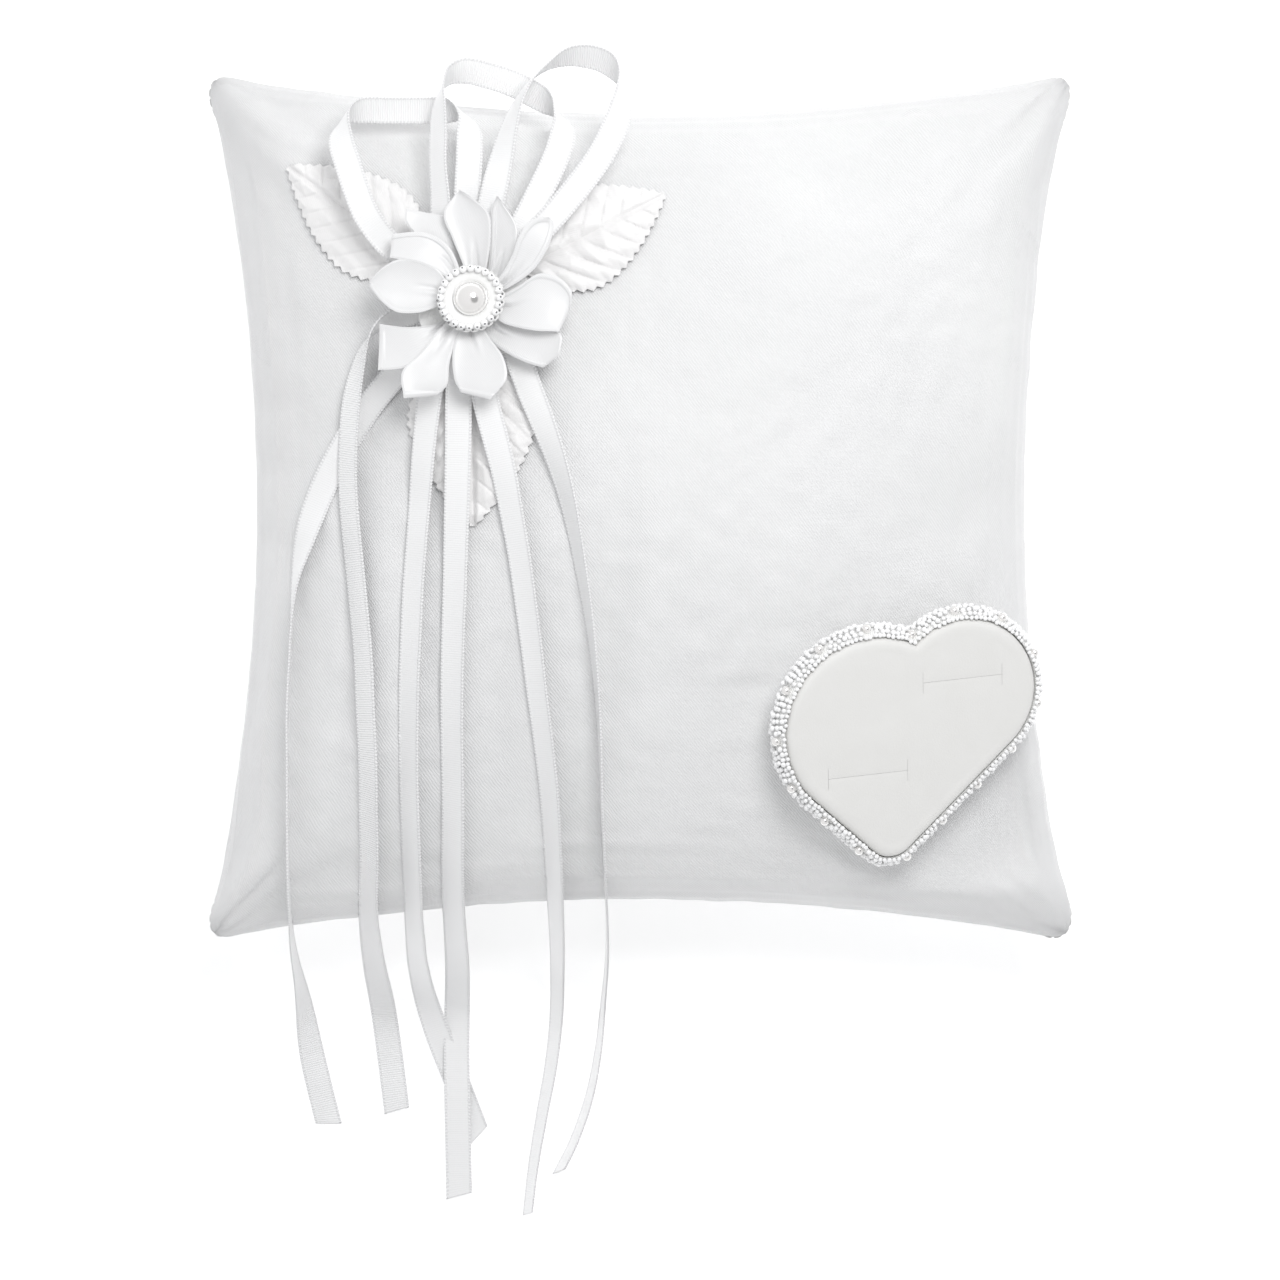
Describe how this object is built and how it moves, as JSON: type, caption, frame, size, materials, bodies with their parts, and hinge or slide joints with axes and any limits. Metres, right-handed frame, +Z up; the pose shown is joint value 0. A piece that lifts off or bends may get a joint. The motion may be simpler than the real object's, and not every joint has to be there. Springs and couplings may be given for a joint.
{
  "type": "ring bearer pillow",
  "caption": "Square white satin cushion with a ribbon flower, hanging ribbon tails and a heart-shaped foam pad whose slits hold wedding rings.",
  "frame": {"origin": "middle of the cushion's flat underside, on the table, midway between its corners", "axes": "+Z up out of the cushion's front panel, +Y towards the flower's end, +X towards the side with the heart pad"},
  "size_m": [0.2, 0.2693, 0.0769],
  "materials": {
    "cover_satin": "white satin with a fine diagonal weave and a soft sheen",
    "fill_fibre": "soft matte fibre",
    "ribbon_satin": "glossy satin on one side, ribbed matte on the other",
    "petal_satin": "glossy folded satin",
    "leaf_satin": "satin with pressed veins",
    "thread": "matte twisted thread",
    "felt": "matte felt",
    "bezel_plastic": "smooth gloss white",
    "clear_bead": "small clear and silver-lined beads",
    "pearl": "pearlescent coating",
    "foam": "cream closed-cell foam, very fine grain"
  },
  "bodies": {
    "root": {"cover_front": "cover_satin", "cover_back": "cover_satin", "filling": "fill_fibre", "edge_seam": "cover_satin", "closing_stitches": "thread", "leaf_left": "leaf_satin", "leaf_right": "leaf_satin", "leaf_bottom": "leaf_satin", "loop_left": "ribbon_satin", "loop_middle": "ribbon_satin", "loop_right": "ribbon_satin", "tail_1": "ribbon_satin", "tail_2": "ribbon_satin", "tail_3": "ribbon_satin", "tail_4": "ribbon_satin", "tail_5": "ribbon_satin", "tail_6": "ribbon_satin", "flower_stitches": "thread", "flower_base": "felt", "petal_1": "petal_satin", "petal_2": "petal_satin", "petal_3": "petal_satin", "petal_4": "petal_satin", "petal_5": "petal_satin", "petal_6": "petal_satin", "petal_7": "petal_satin", "petal_8": "petal_satin", "petal_9": "petal_satin", "petal_10": "petal_satin", "petal_11": "petal_satin", "bezel": "bezel_plastic", "bezel_beads": "clear_bead", "bezel_pearl": "pearl", "heart_backing": "felt", "heart_pad": "foam", "heart_tape": "thread", "heart_pearls": "pearl", "heart_beads": "clear_bead"}
  },
  "joints": []
}
